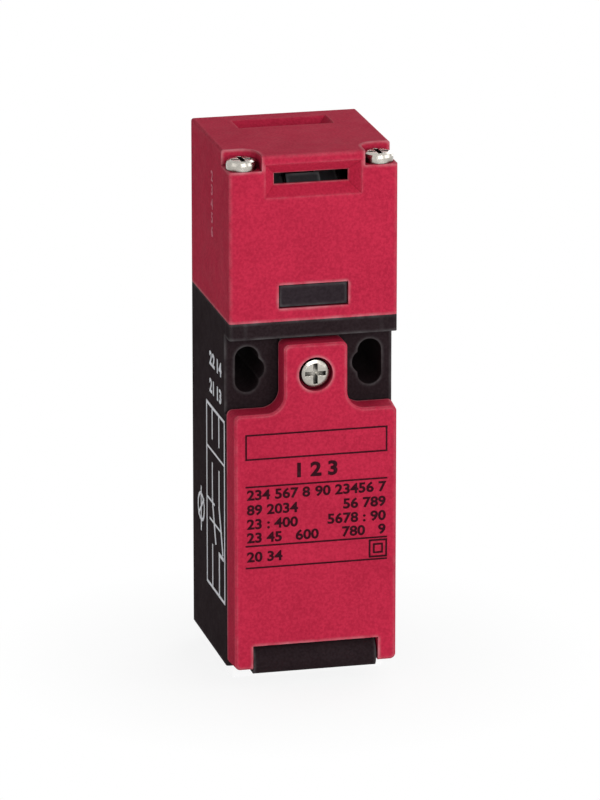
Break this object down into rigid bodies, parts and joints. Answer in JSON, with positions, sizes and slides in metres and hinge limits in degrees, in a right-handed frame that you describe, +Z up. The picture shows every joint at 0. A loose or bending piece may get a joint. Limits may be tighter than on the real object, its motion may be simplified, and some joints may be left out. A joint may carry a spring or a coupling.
{
  "type": "tongue interlock switch",
  "caption": "Slim two-part tongue interlock switch with a square slotted turret head, a hinged front cover and a bottom cable entry.",
  "frame": {"origin": "centre of the bounding box's bottom face, under the middle of the case", "axes": "+Z up along the switch's length towards the turret head, +Y from the front cover to the mounting face, +X to the right seen from the front"},
  "size_m": [0.03, 0.0318, 0.0935],
  "materials": {
    "red_plastic": "fine grain, satin",
    "black_plastic": "fine grain, satin",
    "frame_plastic": "smooth satin",
    "cam_plastic": "smooth",
    "block_plastic": "smooth satin",
    "carrier_plastic": "smooth satin",
    "nickel": "bright nickel plate",
    "steel": "plain steel",
    "brass": "turned",
    "contact_metal": "silver-faced strip",
    "rubber": "matt"
  },
  "bodies": {
    "housing": {"body_case": "black_plastic", "head_shell": "red_plastic", "head_frame": "frame_plastic", "cam_axle": "steel", "axle_clips": "steel", "turret_inserts": "brass", "cover_screw_insert": "brass", "head_screws": "nickel", "block_screws": "nickel", "terminal_screws": "nickel", "head_seal": "rubber", "plunger_seal": "rubber", "contact_block_rear": "block_plastic", "contact_block_front": "block_plastic", "fixed_contacts_nc": "contact_metal", "fixed_contacts_no": "contact_metal", "terminal_clamps": "nickel", "return_spring": "steel"},
    "cover": {"front_cover": "red_plastic", "cover_screw": "nickel", "screw_retainer": "cam_plastic", "cover_seal": "rubber"},
    "cam": {"cam_drum": "cam_plastic"},
    "plunger": {"push_rod": "steel", "contact_carrier": "carrier_plastic", "contact_bridge_nc": "contact_metal", "contact_bridge_no": "contact_metal", "contact_springs": "steel"}
  },
  "joints": [
    {"name": "cover_hinge", "type": "hinge", "parent": "housing", "child": "cover", "pos_m": [0, -0.0121, 0.0019], "axis": [1, 0, 0], "range_deg": [0, 90]},
    {"name": "cam_turn", "type": "hinge", "parent": "housing", "child": "cam", "pos_m": [0, 0.0009, 0.0805], "axis": [-1, 0, 0], "range_deg": [0, 60]},
    {"name": "plunger_slide", "type": "slide", "parent": "housing", "child": "plunger", "axis": [0, 0, 1], "range_m": [0, 0.003], "deforming": ["return_spring"]}
  ],
  "couplings": [
    {"joint": "plunger_slide", "follows": "cam_turn", "m_per_rad": 0.0028648}
  ]
}
